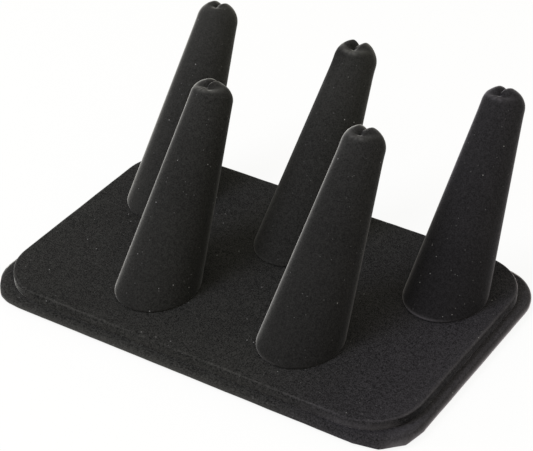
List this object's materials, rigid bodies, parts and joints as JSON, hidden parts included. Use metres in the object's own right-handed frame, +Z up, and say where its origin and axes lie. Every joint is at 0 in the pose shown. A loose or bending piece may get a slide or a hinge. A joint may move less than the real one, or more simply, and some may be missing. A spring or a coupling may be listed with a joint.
{
  "type": "ring display stand",
  "caption": "Velvet-covered jewellery stand: tapered fingers lean back from a stepped rectangular base to show finger rings.",
  "frame": {"origin": "middle of the underside, on the surface the stand rests on", "axes": "+X along the long side, +Y to the rear, the way the fingers lean, +Z up"},
  "size_m": [0.17, 0.1223, 0.0722],
  "materials": {
    "velvet": "short-pile black velvet with a grey sheen at grazing angles",
    "felt": "thin pressed black felt",
    "fibreboard": "medium-density fibreboard, cut edges",
    "core_wood": "turned softwood, unfinished",
    "screw_steel": "zinc-plated steel"
  },
  "bodies": {
    "root": {"underside_lining": "felt", "base_board": "fibreboard", "base_cover": "velvet", "riser_board": "fibreboard", "riser_cover": "velvet", "finger_core_back_left": "core_wood", "finger_cover_back_left": "velvet", "finger_core_back_middle": "core_wood", "finger_cover_back_middle": "velvet", "finger_core_back_right": "core_wood", "finger_cover_back_right": "velvet", "finger_core_front_left": "core_wood", "finger_cover_front_left": "velvet", "finger_core_front_right": "core_wood", "finger_cover_front_right": "velvet", "finger_screws": "screw_steel"}
  },
  "joints": []
}
